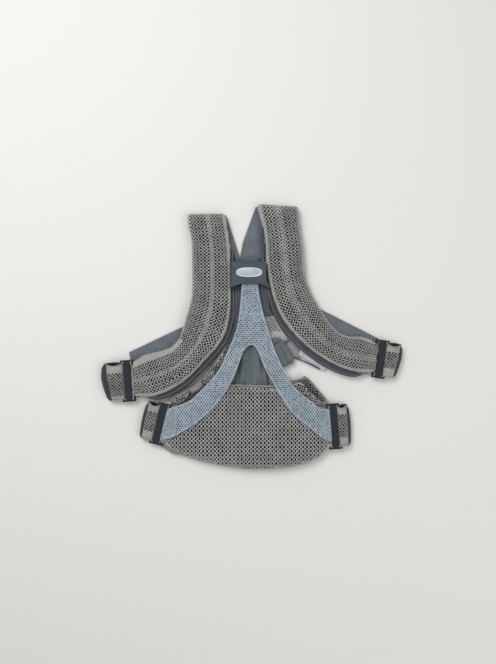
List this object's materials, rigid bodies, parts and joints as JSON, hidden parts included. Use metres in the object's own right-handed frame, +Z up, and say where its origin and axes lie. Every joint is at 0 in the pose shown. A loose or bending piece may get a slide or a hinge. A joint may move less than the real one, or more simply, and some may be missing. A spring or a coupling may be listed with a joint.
{
  "type": "soft baby carrier",
  "caption": "Soft baby carrier laid flat: padded mesh shoulder straps folded over at the shoulder, sliding yoke, forked back brace, padded lumbar panel and hinged mesh-sleeved end buckles.",
  "frame": {"origin": "middle of the laid-flat carrier, on the surface it lies on", "axes": "+X to the right across the shoulders, +Y from the lumbar panel towards the shoulder folds, +Z up out of the surface it lies on"},
  "size_m": [0.5278, 0.466, 0.0279],
  "materials": {
    "mesh_taupe": "warp-knit spacer mesh with staggered holes",
    "mesh_light": "fine pale mesh",
    "lining_grey": "plain woven lining",
    "lining_green": "plain soft lining",
    "binding_dark": "woven binding tape and piping",
    "foam": "soft open-cell foam",
    "label_white": "smooth woven label",
    "plate_dark": "fine matt grain",
    "stiffener": "plain matt sheet",
    "badge_white": "smooth gloss"
  },
  "bodies": {
    "harness": {"left_strap_cover": "mesh_taupe", "left_strap_foam": "foam", "left_strap_lining": "lining_grey", "left_strap_binding": "binding_dark", "left_shoulder_fold": "mesh_taupe", "left_back_strap": "lining_grey", "left_side_wing": "lining_grey", "right_strap_cover": "mesh_taupe", "right_strap_foam": "foam", "right_strap_lining": "lining_grey", "right_strap_binding": "binding_dark", "right_shoulder_fold": "mesh_taupe", "right_back_strap": "lining_grey", "right_side_wing": "lining_grey", "care_label": "label_white", "brace_stem": "mesh_light", "head_support_mesh": "mesh_taupe", "head_support_lining": "lining_green"},
    "yoke": {"yoke_cover": "plate_dark", "yoke_back_plate": "plate_dark", "yoke_badge": "badge_white"},
    "lower_section": {"brace_left_leg": "mesh_light", "brace_right_leg": "mesh_light", "seat_mesh_panel": "mesh_taupe", "seat_lining": "lining_green", "left_side_flap": "mesh_taupe", "right_side_flap": "mesh_taupe", "pouch_corner_tab": "lining_green", "lumbar_lining": "lining_grey", "lumbar_stiffener": "stiffener", "lumbar_foam": "foam", "lumbar_cover": "mesh_taupe", "lumbar_top_hem": "mesh_taupe"},
    "left_shoulder_buckle": {"left_shoulder_buckle_frame": "plate_dark", "left_shoulder_sleeve": "mesh_taupe", "left_shoulder_sleeve_trim": "binding_dark"},
    "right_shoulder_buckle": {"right_shoulder_buckle_frame": "plate_dark", "right_shoulder_sleeve": "mesh_taupe", "right_shoulder_sleeve_trim": "binding_dark"},
    "left_waist_buckle": {"left_waist_buckle_frame": "plate_dark", "left_waist_sleeve": "mesh_taupe", "left_waist_sleeve_trim": "binding_dark"},
    "right_waist_buckle": {"right_waist_buckle_frame": "plate_dark", "right_waist_sleeve": "mesh_taupe", "right_waist_sleeve_trim": "binding_dark"}
  },
  "joints": [
    {"name": "yoke_slide", "type": "slide", "parent": "harness", "child": "yoke", "axis": [0, 1, 0], "range_m": [-0.008, 0.02]},
    {"name": "lower_fold", "type": "hinge", "parent": "harness", "child": "lower_section", "pos_m": [0, -0.024, 0.0275], "axis": [-1, 0, 0], "range_deg": [0, 150]},
    {"name": "left_shoulder_hinge", "type": "hinge", "parent": "harness", "child": "left_shoulder_buckle", "pos_m": [-0.2075, -0.0775, 0.0115], "axis": [-0.0744, 0.9972, 0], "range_deg": [0, 90]},
    {"name": "right_shoulder_hinge", "type": "hinge", "parent": "harness", "child": "right_shoulder_buckle", "pos_m": [0.2155, -0.0385, 0.0115], "axis": [-0.146, -0.9893, 0], "range_deg": [0, 90]},
    {"name": "left_waist_hinge", "type": "hinge", "parent": "lower_section", "child": "left_waist_buckle", "pos_m": [-0.151, -0.156, 0.0115], "axis": [0.2356, 0.9719, 0], "range_deg": [0, 90]},
    {"name": "right_waist_hinge", "type": "hinge", "parent": "lower_section", "child": "right_waist_buckle", "pos_m": [0.134, -0.159, 0.0115], "axis": [0.0808, -0.9967, 0], "range_deg": [0, 90]}
  ]
}
